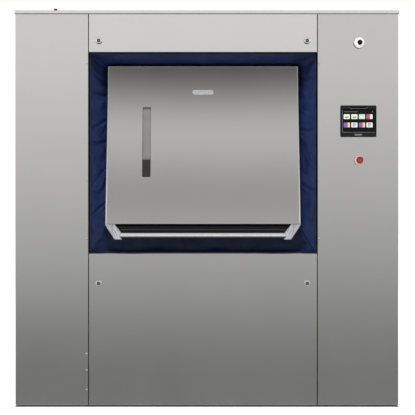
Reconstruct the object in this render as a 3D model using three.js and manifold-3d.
// Pass-through (barrier) washer-extractor for hospital laundries.
//
// A sheet-steel cabinet stands in a wall between a soiled room (front, -Y) and a clean room
// (rear, +Y). Inside it a side-loading tub hangs on four coil springs, with a mouth on each
// side that is closed by a top-hinged flap door. A fabric bellows seals each mouth to the
// cabinet, so the tub can bounce. A divided drum turns in the tub about the X axis, driven
// by a belt from a motor under the tub.
//
// Millimetres, +Z up. The origin is on the floor at the centre of the cabinet's footprint.
import * as THREE from "three";
import { mergeVertices } from "three/addons/utils/BufferGeometryUtils.js";
import Module from "manifold-3d";

const wasm = await Module();
wasm.setup();

// ---------------------------------------------------------------- driving dimensions

const GAP = 0.4; // between two pieces that rest on each other
const SHEET = 2; // panel sheet
const FLANGE = 25; // folded edge of a panel

const CABINET = { width: 1964, depth: 1380, top: 2013, bottom: 6 };
const LID = { overhang: 4, bottom: 2014, top: 2030 };
const FRONT = -CABINET.depth / 2; // plane of the front panels

// The bay between the two columns, which holds the tub. The left column is the narrower one.
const BAY = { x: -20, half: 585, sill: 783, head: 1817 };
const PANEL_JOINT = 4;

// The flap door, closed. Its plane leans back by LEAN and its lower edge is flush with the front.
const LEAN = THREE.MathUtils.degToRad(8.5);
const DOOR = { half: 504, height: 819, thick: 38, bottomZ: 935, hingeRise: 14, lipTop: 3, lipThick: 3 };
const KNUCKLE_R = 13;
const HINGE_ROD_R = 8;
const HINGE_BORE_R = 8.6;
const HINGE_EARS = [[-315, -285], [-15, 15], [285, 315]]; // on the mouth frame, along X
const EAR = { arm: [-9, 12], root: [-40, 12] };
const KNUCKLE_HALF = 9; // of the web between a knuckle and the leaf
const DOOR_KNUCKLES = [[-460, -330], [-270, -30], [30, 270], [330, 460]];

// The slot that the latch grip runs in, in the door's own frame.
const SLOT = { x: -293, half: 21.5, top: -221, bottom: -588, depth: 18 };
const LATCH = { height: 91, side: 1.5 };

const HANDLE = {
  barR: 14,
  barDrop: 65,
  barOut: 46,
  barHalf: 420,
  thick: 8,
  root: 51, // width of an arm at the door
  tip: 38, // and at the bar
  under: 20, // how far an arm runs below the bar's centre line
};
const GUARD = { inset: 66, taper: 24, barClear: 4, y: [3, 9] };

// The tub, the drum and the axis they share.
const AXIS_Z = 1180;
const TUB = { outer: 576, wall: 6, half: 540, shaftHole: 72 };
const MOUTH = { half: 440, top: -70, bottom: -770, wall: 8, flangeHalf: 488, cut: [-60, 400], clear: 6 };
const MOUTH_FLANGE = { top: -24, bottom: -815, face: 32, thick: 10 };
const SEAL = { inset: 12 }; // from the flange's outer edge, and out from the mouth
const TUB_RIBS = { x: [-300, 0, 300], half: 5, proud: 12 };
const LEG = { half: 12, depth: 60, footThick: 12, top: 900 };
const CRADLE = { plates: [-534, -420], plateThick: 16, half: 90, z: [560, 640] };
const CRADLE_RAIL = { x: [-612, -402], z: [552, 566] };
const SUMP = { x: [60, 220], half: 90, z: [520, 640], wall: 6 };
const DRAIN = { x: 140, z: 570, r: 38, bore: 34, y: [80, 190] };
const BEARING = { flangeR: 190, flangeThick: 22, barrelR: 110, length: 110, clear: 2 };
const DRUM = {
  outer: 520,
  wall: 5,
  half: 510,
  end: 8, // thickness of the end walls
  divider: 6,
  shaft: [-800, 690],
  lean: THREE.MathUtils.degToRad(14),
};
const DRUM_DOOR = { halfChord: 232, half: 450, play: 3, barrel: 6, cut: [-600, -200] };
const STIFFENER = { inset: 60, back: -484, z: [-60, -40] };
const DRUM_HINGE = {
  z: DRUM_DOOR.halfChord - DRUM_DOOR.play - 7,
  y: -Math.sqrt((DRUM.outer - DRUM.wall) ** 2 - (DRUM_DOOR.halfChord - 10) ** 2) + 3,
};
const SHAFT_R = 60;

// The belt drive, at the tub's left end.
const DRIVE = { motorZ: 420, drumPulleyR: 330, motorPulleyR: 60, x0: -790, x1: -720, belt: 9 };
const BELT = { clear: 2.4, inset: 6, steps: 18 };
const DRUM_PULLEY = { rim: 22, web: 14, hubR: 100, hubInset: 6, windows: 6, windowAt: 205, windowR: 62 };
const MOTOR = {
  bodyR: 128,
  body: [-690, -340],
  cowlR: 116,
  cowl: [-345, -290],
  pad: [-600, -410],
  padHalf: 70,
  terminalX: [-560, -440],
  terminalY: [-175, -100],
  terminalHalf: 60,
  shaftR: 22,
  shaft: [-750, -610],
  boreR: 26,
};

const BELLOWS = { thick: 5, clear: 8, steps: 6 };

// Coil springs under the tub's four legs.
const SPRING = {
  x: 430,
  y: 430,
  foot: 180,
  height: 250,
  coilR: 48,
  wireR: 9,
  wireSides: 5,
  turns: 4,
  stepsPerTurn: 10,
  play: 4, // above and below the wire
  seat: 60,
};

const LOCK = {
  x: 534,
  upperZ: 1874,
  lowerZ: 630,
  knobR: 16,
  knobProud: 12,
  bevel: [3, 4],
  recessR: 9,
  recessDeep: 5,
  shaftR: 7,
  hole: 8.5,
  reach: 54, // from the front plane to the back of the tongue
  tongue: 72,
  tongueHalf: 8,
  tongueThick: 4,
};
const LOCK_POCKET = { deep: 22, halfHeight: 50, behind: 52, halfWide: 9 };
const CONTROLS = { displayX: 797, x: 801, displayZ: 1462, stopZ: 1262, buzzerZ: 1863 };
const DISPLAY = {
  half: 92.5,
  halfHeight: 81,
  proud: 7,
  body: 84,
  bodyHeight: 73,
  depth: 45,
  screen: 74,
  screenHeight: 52,
  screenDeep: 2,
};
const STOP = { collarR: 22, collarProud: 11, neckR: 10.8, neckDeep: 44, bore: 6.4, stemR: 5.6 };
const BUZZER = { baseR: 27, neckR: 14, neckDeep: 30, hornR: 12.5 };
const CONTROL_BOX = { x: [690, 900], y: [-585, -380], z: [1120, 1720] };

// Connections on a plate on the lid: three threaded stubs with nuts, a duct and an air pipe.
const SERVICE = {
  plateX: [-905, -660],
  plateY: [-140, 560],
  plateThick: 6,
  x: -770,
  stubs: [170, 290, 410],
  stubR: 22,
  stubHeight: 70,
  nutR: 32,
  nutZ: [10, 30],
  ductY: 510,
  ductR: 34,
  ductHeight: 50,
  pipe: [-868, -100],
  pipeR: 10,
  pipeHeight: 128,
  pipeNutR: 17,
  pipeNutHeight: 22,
};

const BASE = { halfX: 930, halfY: 640, beam: 90, height: 90, anchorR: 11 };
const FRAME = { beam: 60, front: 650, postX: 622, cornerX: 932, corner: 40, windowBeam: 20 };

// ---------------------------------------------------------------- materials

const paint = (color, roughness, metalness) =>
  new THREE.MeshStandardMaterial({ color, roughness, metalness });

const STAINLESS = paint(0xb4b2b0, 0.38, 0.9);
const DOOR_STAINLESS = paint(0xa5a39f, 0.34, 0.9);
const ALUMINIUM = paint(0xc9cacb, 0.4, 0.85);
const CHROME = paint(0xd8d8da, 0.12, 1);
const STEEL = paint(0x6f7478, 0.5, 0.7);
const SPRING_STEEL = paint(0x33383c, 0.45, 0.6);
const FABRIC = paint(0x1c2752, 0.6, 0);
const RUBBER = paint(0x19191a, 0.8, 0);
const BLACK_PLASTIC = paint(0x1d1c1d, 0.5, 0);
const GREY_PLASTIC = paint(0x3b3937, 0.55, 0);
const WHITE_PLASTIC = paint(0xeeecea, 0.35, 0);
const RED_PLASTIC = paint(0xb8382c, 0.35, 0);
const YELLOW_PLASTIC = paint(0xe0b23a, 0.4, 0);
const MOTOR_PAINT = paint(0x51626f, 0.5, 0.2);

// ---------------------------------------------------------------- solids

// A three.js geometry, moved by a matrix, as a solid that can be joined and cut.
function solid(geometry, matrix) {
  const bare = geometry.index ? geometry.toNonIndexed() : geometry.clone();
  bare.deleteAttribute("normal");
  bare.deleteAttribute("uv");
  if (matrix) bare.applyMatrix4(matrix);
  const merged = mergeVertices(bare, 1e-3);
  return new wasm.Manifold(
    new wasm.Mesh({
      numProp: 3,
      vertProperties: merged.attributes.position.array,
      triVerts: new Uint32Array(merged.index.array),
    }),
  );
}

function box([x0, x1], [y0, y1], [z0, z1], matrix = new THREE.Matrix4()) {
  const geometry = new THREE.BoxGeometry(x1 - x0, y1 - y0, z1 - z0);
  geometry.translate((x0 + x1) / 2, (y0 + y1) / 2, (z0 + z1) / 2);
  return solid(geometry, matrix);
}

const TURN_TO = {
  x: new THREE.Matrix4().makeRotationZ(-Math.PI / 2),
  y: new THREE.Matrix4(),
  z: new THREE.Matrix4().makeRotationX(Math.PI / 2),
};

// A round bar of radius r along an axis, from one end to the other, with its centre line
// through (across, up): (y, z) for an X bar, (x, z) for a Y bar and (x, y) for a Z bar.
function bar(axis, r, [from, to], [across, up], segments = 24) {
  const geometry = new THREE.CylinderGeometry(r, r, to - from, segments);
  const centre = (from + to) / 2;
  const place = {
    x: [centre, across, up],
    y: [across, centre, up],
    z: [across, up, centre],
  }[axis];
  const matrix = new THREE.Matrix4().makeTranslation(...place).multiply(TURN_TO[axis]);
  return solid(geometry, matrix);
}

// A turned piece about the Y axis through (x, z). The profile's points are [radius, y].
function turned(profile, [x, z], segments = 32) {
  const points = profile.map(([r, y]) => new THREE.Vector2(r, y));
  const geometry = new THREE.LatheGeometry(points, segments);
  return outward(solid(geometry, new THREE.Matrix4().makeTranslation(x, 0, z)), geometry, [x, z]);
}

// A profile listed the other way round gives a solid inside out, so it is reversed here.
function outward(made, geometry, [x, z]) {
  if (made.volume() > 0) return made;
  const flipped = geometry.index.array;
  for (let i = 0; i < flipped.length; i += 3) {
    [flipped[i + 1], flipped[i + 2]] = [flipped[i + 2], flipped[i + 1]];
  }
  return solid(geometry, new THREE.Matrix4().makeTranslation(x, 0, z));
}

// An outline in the X-Z plane, given as a THREE.Shape, with thickness along Y from y0 to y1.
function plate(shape, [y0, y1], curveSegments = 12) {
  const geometry = new THREE.ExtrudeGeometry(shape, {
    depth: y1 - y0,
    bevelEnabled: false,
    curveSegments,
  });
  const standUp = new THREE.Matrix4().makeRotationX(Math.PI / 2);
  return solid(geometry, new THREE.Matrix4().makeTranslation(0, y1, 0).multiply(standUp));
}

function join(...solids) {
  return solids.reduce((sum, s) => sum.add(s));
}

function cut(body, ...tools) {
  return tools.reduce((rest, tool) => rest.subtract(tool), body);
}

function geometryOf(manifold) {
  const mesh = manifold.getMesh();
  const position = new Float32Array(mesh.numVert * 3);
  for (let i = 0; i < mesh.numVert; i++) {
    position.set(mesh.vertProperties.subarray(i * mesh.numProp, i * mesh.numProp + 3), i * 3);
  }
  const geometry = new THREE.BufferGeometry();
  geometry.setAttribute("position", new THREE.BufferAttribute(position, 3));
  geometry.setIndex(new THREE.BufferAttribute(new Uint32Array(mesh.triVerts), 1));
  geometry.computeVertexNormals();
  return geometry;
}

function transformed(manifold, matrix) {
  return solid(geometryOf(manifold), matrix);
}

function piece(parent, name, manifold, material) {
  const mesh = new THREE.Mesh(geometryOf(manifold), material);
  mesh.name = name;
  parent.add(mesh);
}

// A folded panel: a sheet with its edges turned back. It faces -Y at y = face.
function tray([x0, x1], [z0, z1], face = FRONT) {
  const shell = box([x0, x1], [face, face + FLANGE], [z0, z1]);
  const hollow = box(
    [x0 + SHEET, x1 - SHEET],
    [face + SHEET, face + FLANGE + 1],
    [z0 + SHEET, z1 - SHEET],
  );
  return shell.subtract(hollow);
}

const HALF_TURN = new THREE.Matrix4().makeRotationZ(Math.PI);

// ---------------------------------------------------------------- frames of reference

// Each side of the machine is built facing -Y about the bay's centre line. The rear is the
// front turned half round.
const SIDES = ["front", "rear"];
const turnOf = (side) => (side === "rear" ? Math.PI : 0);

// The door's own frame: X along the hinge, +Z up the door's face, -Y out of the machine,
// with its origin on the hinge axis.
const doorBottom = -DOOR.hingeRise - DOOR.height;
const HINGE = {
  y: FRONT + (DOOR.thick / 2) * Math.cos(LEAN) - doorBottom * Math.sin(LEAN),
  z: DOOR.bottomZ - (DOOR.thick / 2) * Math.sin(LEAN) - doorBottom * Math.cos(LEAN),
};

function doorMatrix(side) {
  const turn = new THREE.Matrix4().makeRotationZ(turnOf(side));
  const place = new THREE.Matrix4().makeTranslation(0, HINGE.y, HINGE.z);
  const lean = new THREE.Matrix4().makeRotationX(-LEAN);
  return turn.multiply(place).multiply(lean);
}

// ---------------------------------------------------------------- cabinet

// A ring of hollow-section beams on the floor, drawn solid, and two rails for the springs.
function baseFrame() {
  const { halfX: x, halfY: y, beam, height } = BASE;
  const outer = box([-x, x], [-y, y], [0, height]);
  const inner = box([beam - x, x - beam], [beam - y, y - beam], [-1, height + 1]);
  const rails = [BAY.x - SPRING.x, BAY.x + SPRING.x].map((at) =>
    box([at - SPRING.seat, at + SPRING.seat], [beam - y - 10, y - beam + 10], [20, SPRING.foot - GAP]),
  );
  const anchorHoles = [beam / 2 - x, x - beam / 2].flatMap((at) =>
    [beam / 2 - y, y - beam / 2].map((across) =>
      bar("z", BASE.anchorR, [-1, height + 1], [at, across], 16),
    ),
  );
  return cut(join(outer.subtract(inner), ...rails), ...anchorHoles);
}

// Posts and beams that carry the panels, with a window frame at each side of the bay.
function upperFrame() {
  const b = FRAME.beam / 2;
  const c = FRAME.corner / 2;
  const y = FRAME.front - b;
  const base = BASE.height + GAP;
  const top = CABINET.top - SHEET - GAP;
  const corner = FRAME.cornerX;
  const posts = [BAY.x - FRAME.postX, BAY.x + FRAME.postX];
  const w = FRAME.windowBeam;
  const parts = [];
  for (const sy of [-1, 1]) {
    const across = [sy * y - b, sy * y + b];
    for (const x of posts) parts.push(box([x - b, x + b], across, [base, top]));
    for (const x of [-corner, corner]) parts.push(box([x - c, x + c], across, [base, top]));
    parts.push(box([-corner, corner], across, [top - FRAME.beam, top]));
    for (const z of [BAY.sill - w - 5, BAY.head + w + 5]) {
      parts.push(box(posts, across, [z - w, z + w]));
    }
  }
  for (const x of [-corner, corner, ...posts]) {
    parts.push(box([x - c, x + c], [-y, y], [top - FRAME.beam + 10, top]));
  }
  return cut(join(...parts), ...lockPockets());
}

// Pockets in the posts that the tongues of the panel locks turn into.
function lockPockets() {
  const { deep, halfHeight, behind, halfWide } = LOCK_POCKET;
  const pockets = [];
  for (const sy of [-1, 1]) {
    for (const sx of [-1, 1]) {
      for (const z of [LOCK.upperZ, LOCK.lowerZ]) {
        const x = BAY.x + sx * (FRAME.postX - FRAME.beam / 2);
        const y = sy * (-FRONT - behind);
        pockets.push(
          box([x - deep, x + deep], [y - halfWide, y + halfWide], [z - halfHeight, z + halfHeight]),
        );
      }
    }
  }
  return pockets;
}

function panelHoles(side) {
  const s = side === "front" ? 1 : -1;
  const span = [FRONT - 1, FRONT + FLANGE + 1];
  const d = CONTROLS.displayX * s;
  const holes = [
    box(
      [d - DISPLAY.body - 1, d + DISPLAY.body + 1],
      span,
      [CONTROLS.displayZ - DISPLAY.bodyHeight - 1, CONTROLS.displayZ + DISPLAY.bodyHeight + 1],
    ),
    bar("y", STOP.neckR + 0.7, span, [CONTROLS.x * s, CONTROLS.stopZ]),
  ];
  if (side === "front") {
    holes.push(bar("y", BUZZER.neckR + 1, span, [CONTROLS.x, CONTROLS.buzzerZ]));
  }
  return holes;
}

function cabinetPanels(group, side) {
  const edge = BAY.half + PANEL_JOINT;
  const toLeft = CABINET.width / 2 + (side === "front" ? BAY.x : -BAY.x);
  const toRight = CABINET.width / 2 - (side === "front" ? BAY.x : -BAY.x);
  const z = [CABINET.bottom, CABINET.top];
  let left = tray([-toLeft, -edge], z);
  let right = tray([edge, toRight], z);
  if (side === "front") right = cut(right, ...panelHoles(side));
  else left = cut(left, ...panelHoles(side));
  piece(group, `${side}_left_panel`, left, STAINLESS);
  piece(group, `${side}_right_panel`, right, STAINLESS);

  const lockHoles = (height) =>
    [-LOCK.x, LOCK.x].map((x) =>
      bar("y", LOCK.hole, [FRONT - 1, FRONT + SHEET + 1], [x, height], 16),
    );
  const upper = tray([-BAY.half, BAY.half], [BAY.head, CABINET.top]);
  const lower = tray([-BAY.half, BAY.half], [CABINET.bottom, BAY.sill]);
  piece(group, `${side}_upper_panel`, cut(upper, ...lockHoles(LOCK.upperZ)), STAINLESS);
  piece(group, `${side}_lower_panel`, cut(lower, ...lockHoles(LOCK.lowerZ)), STAINLESS);
}

function sidePanel(sign) {
  const half = CABINET.depth / 2 - FLANGE - GAP;
  const x0 = CABINET.width / 2 - FLANGE;
  const x1 = CABINET.width / 2;
  const z = [CABINET.bottom, CABINET.top];
  const shell = box([x0, x1], [-half, half], z);
  const hollow = box(
    [x0 - 1, x1 - SHEET],
    [-half + SHEET, half - SHEET],
    [z[0] + SHEET, z[1] - SHEET],
  );
  const panel = shell.subtract(hollow);
  return sign > 0 ? panel : transformed(panel, HALF_TURN);
}

function topCover() {
  const x = CABINET.width / 2 + LID.overhang;
  const y = CABINET.depth / 2 + LID.overhang;
  const shell = box([-x, x], [-y, y], [LID.bottom, LID.top]);
  const hollow = box(
    [-x + SHEET, x - SHEET],
    [-y + SHEET, y - SHEET],
    [LID.bottom - 1, LID.top - SHEET],
  );
  return shell.subtract(hollow);
}

// Water, steam and air connections on a plate on the lid, over the left column.
function serviceConnections() {
  const { x, pipe } = SERVICE;
  const z = LID.top + GAP;
  const upright = (r, from, to, at, sides) => bar("z", r, [z + from, z + to], at, sides);
  const stubs = SERVICE.stubs.flatMap((y) => [
    upright(SERVICE.stubR, 0, SERVICE.stubHeight, [x, y], 12),
    upright(SERVICE.nutR, ...SERVICE.nutZ, [x, y], 6),
  ]);
  return join(
    box(SERVICE.plateX, SERVICE.plateY, [z, z + SERVICE.plateThick]),
    ...stubs,
    upright(SERVICE.ductR, 0, SERVICE.ductHeight, [x, SERVICE.ductY], 12),
    upright(SERVICE.pipeR, 0, SERVICE.pipeHeight, pipe, 10),
    upright(SERVICE.pipeNutR, 0, SERVICE.pipeNutHeight, pipe, 6),
  );
}

function controlBox() {
  return box(CONTROL_BOX.x, CONTROL_BOX.y, CONTROL_BOX.z);
}

// ---------------------------------------------------------------- bellows

// Points round a four-sided ring, with its two sides in short steps. The corners are
// (x, bottom) and (x, top), and y is the same all round.
function ring(half, y, bottom, top) {
  const heights = [];
  for (let i = 0; i <= BELLOWS.steps; i++) {
    heights.push(bottom + ((top - bottom) * i) / BELLOWS.steps);
  }
  const right = heights.map((z) => [half, y, z]);
  const left = heights.toReversed().map((z) => [-half, y, z]);
  return [...right, ...left, right[0]];
}

// A funnel from the bay's window frame back to the tub's mouth, of one thickness. Its front
// and back faces are split along the same diagonals, because its sides twist.
function bellows() {
  const toSide = doorMatrix("front");
  const outer = ring(BAY.half - 1, -FRAME.front - 6, BAY.sill + 2, BAY.head - 2);
  const inner = ring(
    MOUTH.flangeHalf + BELLOWS.clear,
    MOUTH_FLANGE.face + 2,
    MOUTH_FLANGE.bottom - BELLOWS.clear,
    KNUCKLE_R + BELLOWS.clear,
  ).map((p) => new THREE.Vector3(...p).applyMatrix4(toSide).toArray());
  const back = ([x, y, z]) => [x, y + BELLOWS.thick, z];
  const position = [];
  const quad = (a, b, c, d) => position.push(...a, ...b, ...c, ...a, ...c, ...d);
  for (let i = 0; i + 1 < outer.length; i++) {
    const [a, b, c, d] = [outer[i], outer[i + 1], inner[i + 1], inner[i]];
    quad(a, b, c, d);
    quad(back(a), back(d), back(c), back(b));
    quad(d, c, back(c), back(d));
    quad(b, a, back(a), back(b));
  }
  const geometry = new THREE.BufferGeometry();
  geometry.setAttribute("position", new THREE.Float32BufferAttribute(position, 3));
  return solid(geometry);
}

// ---------------------------------------------------------------- controls

function display(s) {
  const x = CONTROLS.displayX * s;
  const z = CONTROLS.displayZ;
  const bezel = box(
    [x - DISPLAY.half, x + DISPLAY.half],
    [FRONT - DISPLAY.proud, FRONT - GAP],
    [z - DISPLAY.halfHeight, z + DISPLAY.halfHeight],
  );
  const body = box(
    [x - DISPLAY.body, x + DISPLAY.body],
    [FRONT - 1, FRONT + DISPLAY.depth],
    [z - DISPLAY.bodyHeight, z + DISPLAY.bodyHeight],
  );
  const screen = box(
    [x - DISPLAY.screen, x + DISPLAY.screen],
    [FRONT - DISPLAY.proud - 1, FRONT - DISPLAY.proud + DISPLAY.screenDeep],
    [z - DISPLAY.screenHeight, z + DISPLAY.screenHeight],
  );
  return cut(join(bezel, body), screen);
}

function stopCollar(s) {
  const at = [CONTROLS.x * s, CONTROLS.stopZ];
  const y = [FRONT - STOP.collarProud, FRONT + STOP.neckDeep];
  const flange = bar("y", STOP.collarR, [y[0], FRONT - GAP], at, 32);
  const neck = bar("y", STOP.neckR, [FRONT - 1, y[1]], at, 20);
  return cut(join(flange, neck), bar("y", STOP.bore, [y[0] - 1, y[1] + 1], at, 16));
}

function stopButton(s) {
  const head = [
    [0, FRONT + 20],
    [STOP.stemR, FRONT + 20],
    [STOP.stemR, FRONT - 19],
    [16, FRONT - 19],
    [20, FRONT - 22],
    [20.5, FRONT - 28],
    [18, FRONT - 33],
    [12, FRONT - 35.5],
    [0, FRONT - 34],
  ];
  return turned(head, [CONTROLS.x * s, CONTROLS.stopZ], 20);
}

function buzzer() {
  const profile = [
    [0, FRONT + BUZZER.neckDeep],
    [BUZZER.neckR, FRONT + BUZZER.neckDeep],
    [BUZZER.neckR, FRONT - GAP],
    [BUZZER.baseR, FRONT - GAP],
    [BUZZER.baseR, FRONT - 10],
    [24, FRONT - 17],
    [18, FRONT - 22],
    [BUZZER.hornR, FRONT - 24],
    [BUZZER.hornR, FRONT - 34],
    [10, FRONT - 37],
    [0, FRONT - 37.5],
  ];
  return turned(profile, [CONTROLS.x, CONTROLS.buzzerZ], 20);
}

// A quarter-turn panel lock: a round head with a three-cornered key recess, a spindle
// through the panel and a tongue behind it. The tongue stands upright, clear of the frame,
// and turns into a pocket in the nearer post. Upper locks have it up, lower ones down.
function panelLock(s, z) {
  const up = z > BAY.sill ? 1 : -1;
  const at = [LOCK.x * s, z];
  const recess = new THREE.Shape();
  for (let i = 0; i < 3; i++) {
    const angle = Math.PI / 2 + (i * 2 * Math.PI) / 3;
    const corner = [
      at[0] + LOCK.recessR * Math.cos(angle),
      z + LOCK.recessR * Math.sin(angle),
    ];
    if (i) recess.lineTo(...corner);
    else recess.moveTo(...corner);
  }
  const face = FRONT - LOCK.knobProud;
  const head = turned(
    [
      [0, FRONT - GAP],
      [LOCK.knobR, FRONT - GAP],
      [LOCK.knobR, face + LOCK.bevel[1]],
      [LOCK.knobR - LOCK.bevel[0], face],
      [0, face],
    ],
    at,
    16,
  );
  const back = FRONT + LOCK.reach;
  const spindle = bar("y", LOCK.shaftR, [FRONT - 1, back], at, 8);
  const half = LOCK.tongueHalf;
  const ends = [z - half * up, z + LOCK.tongue * up].sort((a, b) => a - b);
  const tongue = box([at[0] - half, at[0] + half], [back - LOCK.tongueThick, back], ends);
  return cut(join(head, spindle, tongue), plate(recess, [face - 1, face + LOCK.recessDeep]));
}

// ---------------------------------------------------------------- suspension

function coilSpring() {
  class Helix extends THREE.Curve {
    getPoint(t, target = new THREE.Vector3()) {
      const angle = t * SPRING.turns * 2 * Math.PI;
      const end = SPRING.wireR + SPRING.play;
      const rise = end + t * (SPRING.height - 2 * end);
      const r = SPRING.coilR;
      return target.set(r * Math.cos(angle), r * Math.sin(angle), rise);
    }
  }
  const wire = new THREE.Shape();
  for (let i = 0; i < SPRING.wireSides; i++) {
    const a = (i / SPRING.wireSides) * 2 * Math.PI;
    const x = SPRING.wireR * Math.cos(a);
    const y = SPRING.wireR * Math.sin(a);
    if (i) wire.lineTo(x, y);
    else wire.moveTo(x, y);
  }
  const geometry = new THREE.ExtrudeGeometry(wire, {
    steps: SPRING.turns * SPRING.stepsPerTurn,
    extrudePath: new Helix(),
    bevelEnabled: false,
  });
  return solid(geometry);
}

// ---------------------------------------------------------------- tub

function mouthHole(side) {
  return box([-MOUTH.half, MOUTH.half], MOUTH.cut, [MOUTH.bottom, MOUTH.top], doorMatrix(side));
}

// A ring round the tub's shell, less what is inside the shell's mid-thickness.
function tubRib(x) {
  const { half, proud } = TUB_RIBS;
  const outer = bar("x", TUB.outer + proud, [x - half, x + half], [0, AXIS_Z], 48);
  return outer.subtract(bar("x", TUB.outer - 2, [x - half - 1, x + half + 1], [0, AXIS_Z], 48));
}

function tubLeg(x, y) {
  const foot = SPRING.foot + SPRING.height;
  const side = [y - LEG.depth, y + LEG.depth];
  return join(
    box([x - LEG.half, x + LEG.half], side, [foot, LEG.top]),
    box([x - LEG.depth, x + LEG.depth], side, [foot + GAP, foot + LEG.footThick]),
  );
}

function tub() {
  const at = [0, AXIS_Z];
  const inside = TUB.half - TUB.wall;
  const shell = bar("x", TUB.outer, [-TUB.half, TUB.half], at, 48);
  const hollow = bar("x", TUB.outer - TUB.wall, [-inside, inside], at, 48);
  const shaftHoles = bar("x", TUB.shaftHole, [-TUB.half - 1, TUB.half + 1], at, 32);
  const legs = [-1, 1].flatMap((sx) => [-1, 1].map((sy) => tubLeg(sx * SPRING.x, sy * SPRING.y)));
  const deep = [-CRADLE.half, CRADLE.half];
  const cradle = CRADLE.plates.map((x) => box([x, x + CRADLE.plateThick], deep, CRADLE.z));
  const rail = box(CRADLE_RAIL.x, deep, CRADLE_RAIL.z);
  const { x, z, half, wall } = SUMP;
  const sump = box(x, [-half, half], z);
  const sumpHollow = box(
    [x[0] + wall, x[1] - wall],
    [wall - half, half - wall],
    [z[0] + wall, z[1] + SUMP.half],
  );
  const drain = bar("y", DRAIN.r, DRAIN.y, [DRAIN.x, DRAIN.z], 20);
  const drainRun = [DRAIN.y[0] - 10, DRAIN.y[1] + 10];
  const drainHole = bar("y", DRAIN.bore, drainRun, [DRAIN.x, DRAIN.z], 20);
  const ribs = TUB_RIBS.x.map(tubRib);
  return cut(
    join(shell, ...legs, ...cradle, rail, ...ribs, sump, drain),
    hollow,
    sumpHollow,
    drainHole,
    shaftHoles,
    mouthClearance("front"),
    mouthClearance("rear"),
  );
}

// The mouth's opening through the tub's shell, and room in its ribs for the mouth's duct.
function mouthClearance(side) {
  const w = MOUTH.wall + MOUTH.clear;
  const ribRoom = box(
    [-MOUTH.half - w, MOUTH.half + w],
    MOUTH.cut,
    [MOUTH.bottom - w, MOUTH.top + w],
    doorMatrix(side),
  ).subtract(bar("x", TUB.outer + 0.01, [-TUB.half, TUB.half], [0, AXIS_Z], 48));
  return join(mouthHole(side), ribRoom);
}

// A rectangular duct from the tub to the door, with a flange for the seal and the bellows,
// and three ears that hold the hinge rod.
function mouthFrame() {
  const f = MOUTH_FLANGE;
  const w = MOUTH.wall;
  const flange = box(
    [-MOUTH.flangeHalf, MOUTH.flangeHalf],
    [f.face, f.face + f.thick],
    [f.bottom, f.top],
  );
  const duct = box(
    [-MOUTH.half - w, MOUTH.half + w],
    [f.face + 1, MOUTH.cut[1]],
    [MOUTH.bottom - w, MOUTH.top + w],
  );
  const through = [f.face - 1, MOUTH.cut[1] + 1];
  const opening = box([-MOUTH.half, MOUTH.half], through, [MOUTH.bottom, MOUTH.top]);
  const ears = HINGE_EARS.map(([x0, x1]) =>
    join(
      bar("x", KNUCKLE_R, [x0, x1], [0, 0], 20),
      box([x0, x1], [0, f.face + f.thick], EAR.arm),
      box([x0, x1], [f.face, f.face + f.thick], EAR.root),
    ),
  );
  const bore = bar("x", HINGE_BORE_R, [-DOOR.half, DOOR.half], [0, 0], 16);
  const toDoor = doorMatrix("front").invert();
  const tubBody = solid(
    new THREE.CylinderGeometry(TUB.outer + GAP, TUB.outer + GAP, 2 * TUB.half + 20, 48),
    toDoor.multiply(new THREE.Matrix4().makeTranslation(0, 0, AXIS_Z)).multiply(TURN_TO.x),
  );
  return cut(join(flange, duct, ...ears), opening, bore, tubBody);
}

function doorSeal() {
  const { inset } = SEAL;
  const y = [DOOR.thick / 2 + GAP, MOUTH_FLANGE.face - GAP];
  const outer = box(
    [-MOUTH.flangeHalf + inset, MOUTH.flangeHalf - inset],
    y,
    [MOUTH_FLANGE.bottom + inset, MOUTH_FLANGE.top - inset],
  );
  const inner = box(
    [-MOUTH.half - inset, MOUTH.half + inset],
    [y[0] - 1, y[1] + 1],
    [MOUTH.bottom - inset, MOUTH.top + inset],
  );
  return outer.subtract(inner);
}

function bearingHousing(sign) {
  const x = [TUB.half + GAP, TUB.half + BEARING.length];
  const at = [0, AXIS_Z];
  const flange = bar("x", BEARING.flangeR, [x[0], x[0] + BEARING.flangeThick], at, 32);
  const barrel = bar("x", BEARING.barrelR, x, at, 32);
  const bore = bar("x", SHAFT_R + BEARING.clear, [x[0] - 1, x[1] + 1], at, 24);
  const housing = cut(join(flange, barrel), bore);
  return sign > 0 ? housing : transformed(housing, HALF_TURN);
}

function motor() {
  const z = DRIVE.motorZ;
  const at = [0, z];
  const body = bar("x", MOTOR.bodyR, MOTOR.body, at, 32);
  const cowl = bar("x", MOTOR.cowlR, MOTOR.cowl, at, 32);
  const padY = [-MOTOR.padHalf, MOTOR.padHalf];
  const pad = box(MOTOR.pad, padY, [z + 100, CRADLE_RAIL.z[0] - GAP]);
  const terminalZ = [z - MOTOR.terminalHalf, z + MOTOR.terminalHalf];
  const terminals = box(MOTOR.terminalX, MOTOR.terminalY, terminalZ);
  const bore = bar("x", MOTOR.boreR, [MOTOR.body[0] - 1, MOTOR.shaft[1] + 10], at, 20);
  return cut(join(body, cowl, pad, terminals), bore);
}

function motorPulley() {
  const at = [0, DRIVE.motorZ];
  const shaft = bar("x", MOTOR.shaftR, MOTOR.shaft, at, 20);
  return join(shaft, bar("x", DRIVE.motorPulleyR, [DRIVE.x0, DRIVE.x1], at, 28));
}

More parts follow.
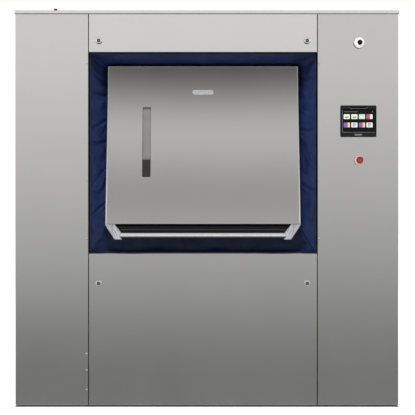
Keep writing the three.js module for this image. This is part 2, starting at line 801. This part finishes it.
function drumPulley() {
  const { x0, x1, drumPulleyR: r } = DRIVE;
  const { rim, web, hubR, hubInset, windowAt, windowR } = DRUM_PULLEY;
  const at = [0, AXIS_Z];
  const past = [x0 - 1, x1 + 1];
  const middle = (x0 + x1) / 2;
  const ring = bar("x", r, [x0, x1], at, 40).subtract(bar("x", r - rim, past, at, 40));
  const disc = bar("x", r - rim / 2, [middle - web / 2, middle + web / 2], at, 40);
  const hub = bar("x", hubR, [x0 + hubInset, x1 - hubInset], at, 24);
  const windows = [];
  for (let i = 0; i < DRUM_PULLEY.windows; i++) {
    const a = (i * 2 * Math.PI) / DRUM_PULLEY.windows;
    const hole = [windowAt * Math.cos(a), AXIS_Z + windowAt * Math.sin(a)];
    windows.push(bar("x", windowR, past, hole, 12));
  }
  return cut(join(ring, disc, hub), ...windows, bar("x", SHAFT_R + GAP, [x0, x1], at, 24));
}

// The belt: an outline round both pulleys, less the same outline drawn closer in.
function driveBelt() {
  const distance = AXIS_Z - DRIVE.motorZ;
  const slope = Math.asin((DRIVE.drumPulleyR - DRIVE.motorPulleyR) / distance);
  const loop = (Path, offset) => {
    const path = new Path();
    path.absarc(0, AXIS_Z, DRIVE.drumPulleyR + offset, -slope, Math.PI + slope, false);
    path.absarc(0, DRIVE.motorZ, DRIVE.motorPulleyR + offset, Math.PI + slope, 2 * Math.PI - slope);
    path.closePath();
    return path;
  };
  const outline = loop(THREE.Shape, DRIVE.belt);
  outline.holes.push(loop(THREE.Path, BELT.clear));
  const flat = plate(outline, [BELT.inset - DRIVE.x1, -BELT.inset - DRIVE.x0], BELT.steps);
  return transformed(flat, new THREE.Matrix4().makeRotationZ(Math.PI / 2));
}

// ---------------------------------------------------------------- drum

// A welded cage with a wall across its middle, a door opening on each side and stub shafts.
function drum() {
  const { half, outer, wall, end, divider, shaft } = DRUM;
  const at = [0, 0];
  const cage = bar("x", outer, [-half, half], at, 60).subtract(
    bar("x", outer - wall, [end - half, half - end], at, 60),
  );
  const middle = box(
    [end / 2 - half, half - end / 2],
    [-divider / 2, divider / 2],
    [divider / 2 - outer, outer - divider / 2],
  );
  const leftShaft = bar("x", SHAFT_R, [shaft[0], 1 - half], at, 24);
  const rightShaft = bar("x", SHAFT_R, [half - 1, shaft[1]], at, 24);
  const openings = [DRUM_DOOR.cut, DRUM_DOOR.cut.map((y) => -y).toReversed()].map((y) =>
    box([-DRUM_DOOR.half, DRUM_DOOR.half], y, [-DRUM_DOOR.halfChord, DRUM_DOOR.halfChord]),
  );
  return join(cut(cage, ...openings), middle, leftShaft, rightShaft);
}

// A leaf of the drum's own curve, with a hinge barrel inside its upper edge.
function drumDoor() {
  const { halfChord, half, play, barrel } = DRUM_DOOR;
  const x = [-half + play, half - play];
  const ring = bar("x", DRUM.outer, x, [0, 0], 60).subtract(
    bar("x", DRUM.outer - DRUM.wall, [-half, half], [0, 0], 60),
  );
  const leaf = ring.intersect(box(x, DRUM_DOOR.cut, [-halfChord + play, halfChord - play]));
  const hinge = bar("x", barrel, [-half + 20, half - 20], [DRUM_HINGE.y, DRUM_HINGE.z], 10);
  const { inset, back, z } = STIFFENER;
  const stiffener = box([inset - half, half - inset], [3 - DRUM.outer, back], z);
  return join(leaf, hinge, stiffener);
}

// ---------------------------------------------------------------- flap door

// A double-skinned leaf with a slot for the latch grip and four hinge knuckles on its top.
// Its outer skin runs on upward as a lip that hides the hinge.
function flapDoor() {
  const t = DOOR.thick / 2;
  const leaf = box([-DOOR.half, DOOR.half], [-t, t], [doorBottom, -DOOR.hingeRise]);
  const lip = box(
    [-DOOR.half, DOOR.half],
    [-t, -t + DOOR.lipThick],
    [-DOOR.hingeRise - 1, DOOR.lipTop],
  );
  const slot = box(
    [SLOT.x - SLOT.half, SLOT.x + SLOT.half],
    [-t - 1, -t + SLOT.depth],
    [SLOT.bottom, SLOT.top],
  );
  const knuckles = DOOR_KNUCKLES.map(([x0, x1]) =>
    join(
      bar("x", KNUCKLE_R, [x0, x1], [0, 0], 20),
      box([x0, x1], [-KNUCKLE_HALF, KNUCKLE_HALF], [-DOOR.hingeRise - 2, 0]),
    ),
  );
  const bore = bar("x", HINGE_BORE_R, [-DOOR.half, DOOR.half], [0, 0], 16);
  return cut(join(leaf, lip, ...knuckles), slot, bore);
}

function hingeRod() {
  return bar("x", HINGE_ROD_R, [-470, 470], [0, 0], 16);
}

function latchGrip() {
  const t = DOOR.thick / 2;
  const x = [SLOT.x - SLOT.half + LATCH.side, SLOT.x + SLOT.half - LATCH.side];
  const z = [SLOT.bottom + 1, SLOT.bottom + 1 + LATCH.height];
  return box(x, [-t - 1, -t + SLOT.depth - 1], z);
}

// Both handle pieces lie in a plane that runs forward and down from the door's lower edge.
const HANDLE_RUN = Math.hypot(HANDLE.barDrop, HANDLE.barOut);

function handleMatrix() {
  const slope = Math.atan2(HANDLE.barOut, HANDLE.barDrop);
  const top = doorBottom - GAP - HANDLE.thick * Math.sin(slope);
  const place = new THREE.Matrix4().makeTranslation(0, -DOOR.thick / 2 + HANDLE.thick, top);
  return place.multiply(new THREE.Matrix4().makeRotationX(-slope));
}

// Two flat arms that run inward and down to a round bar.
function handle() {
  const matrix = handleMatrix();
  const arms = [-1, 1].map((s) => {
    const outline = new THREE.Shape();
    const outer = DOOR.half;
    const inner = HANDLE.barHalf - 9;
    outline.moveTo(s * outer, 0);
    outline.lineTo(s * (outer - HANDLE.root), 0);
    outline.lineTo(s * inner, -HANDLE_RUN + HANDLE.barR);
    outline.lineTo(s * inner, -HANDLE_RUN - HANDLE.under);
    outline.lineTo(s * (inner + HANDLE.tip), -HANDLE_RUN - HANDLE.under);
    outline.closePath();
    return plate(outline, [-HANDLE.thick, 0]);
  });
  const ends = [-HANDLE.barHalf, HANDLE.barHalf];
  const grip = bar("x", HANDLE.barR, ends, [-HANDLE.thick, -HANDLE_RUN], 20);
  return transformed(join(...arms, grip), matrix);
}

// A dark ribbed tray between the arms, which keeps fingers off the door's lower edge.
function handleGuard() {
  const outline = new THREE.Shape();
  const half = DOOR.half - GUARD.inset;
  const low = -HANDLE_RUN + HANDLE.barR + GUARD.barClear;
  outline.moveTo(-half, -1);
  outline.lineTo(-half + GUARD.taper, low);
  outline.lineTo(half - GUARD.taper, low);
  outline.lineTo(half, -1);
  outline.closePath();
  return transformed(plate(outline, GUARD.y), handleMatrix());
}

// ---------------------------------------------------------------- assembly

const machine = new THREE.Group();

function addSide(side) {
  const s = side === "front" ? 1 : -1;
  const group = new THREE.Group();
  group.position.x = BAY.x;
  group.rotation.z = turnOf(side);
  machine.add(group);

  cabinetPanels(group, side);
  piece(group, `${side}_bellows`, bellows(), FABRIC);
  piece(group, `${side}_display`, display(s), BLACK_PLASTIC);
  piece(group, `${side}_stop_collar`, stopCollar(s), YELLOW_PLASTIC);
  piece(group, `${side}_stop_button`, stopButton(s), RED_PLASTIC);
  if (side === "front") piece(group, "front_buzzer", buzzer(), WHITE_PLASTIC);
  for (const [row, z] of [
    ["upper", LOCK.upperZ],
    ["lower", LOCK.lowerZ],
  ]) {
    piece(group, `${side}_${row}_left_lock`, panelLock(-1, z), CHROME);
    piece(group, `${side}_${row}_right_lock`, panelLock(1, z), CHROME);
  }

  const door = new THREE.Group();
  door.position.set(0, HINGE.y, HINGE.z);
  door.rotation.x = -LEAN;
  group.add(door);
  piece(door, `${side}_mouth_frame`, mouthFrame(), STAINLESS);
  piece(door, `${side}_door_seal`, doorSeal(), RUBBER);
  piece(door, `${side}_hinge_rod`, hingeRod(), STEEL);
  piece(door, `${side}_door`, flapDoor(), DOOR_STAINLESS);
  piece(door, `${side}_latch_grip`, latchGrip(), GREY_PLASTIC);
  piece(door, `${side}_handle`, handle(), ALUMINIUM);
  piece(door, `${side}_handle_guard`, handleGuard(), BLACK_PLASTIC);
}

function addTub() {
  const group = new THREE.Group();
  group.position.x = BAY.x;
  machine.add(group);
  piece(group, "tub", tub(), STAINLESS);
  piece(group, "left_bearing_housing", bearingHousing(-1), STEEL);
  piece(group, "right_bearing_housing", bearingHousing(1), STEEL);
  piece(group, "motor", motor(), MOTOR_PAINT);
  piece(group, "motor_pulley", motorPulley(), STEEL);
  piece(group, "drum_pulley", drumPulley(), STEEL);
  piece(group, "drive_belt", driveBelt(), RUBBER);

  const turning = new THREE.Group();
  turning.position.z = AXIS_Z;
  turning.rotation.x = -DRUM.lean;
  group.add(turning);
  piece(turning, "drum", drum(), STAINLESS);
  for (const [name, turn] of [
    ["drum_door_a", 0],
    ["drum_door_b", Math.PI],
  ]) {
    const compartment = new THREE.Group();
    compartment.rotation.x = turn;
    turning.add(compartment);
    piece(compartment, name, drumDoor(), STAINLESS);
  }

  for (const [name, x, y] of [
    ["front_left_spring", -1, -1],
    ["front_right_spring", 1, -1],
    ["rear_left_spring", -1, 1],
    ["rear_right_spring", 1, 1],
  ]) {
    const seat = new THREE.Group();
    seat.position.set(x * SPRING.x, y * SPRING.y, SPRING.foot);
    group.add(seat);
    piece(seat, name, coilSpring(), SPRING_STEEL);
  }
}

piece(machine, "base_frame", baseFrame(), STEEL);
piece(machine, "upper_frame", upperFrame(), STEEL);
piece(machine, "left_side_panel", sidePanel(-1), STAINLESS);
piece(machine, "right_side_panel", sidePanel(1), STAINLESS);
piece(machine, "top_cover", topCover(), STAINLESS);
piece(machine, "service_connections", serviceConnections(), STEEL);
piece(machine, "control_box", controlBox(), STEEL);
for (const side of SIDES) addSide(side);
addTub();

export default machine;
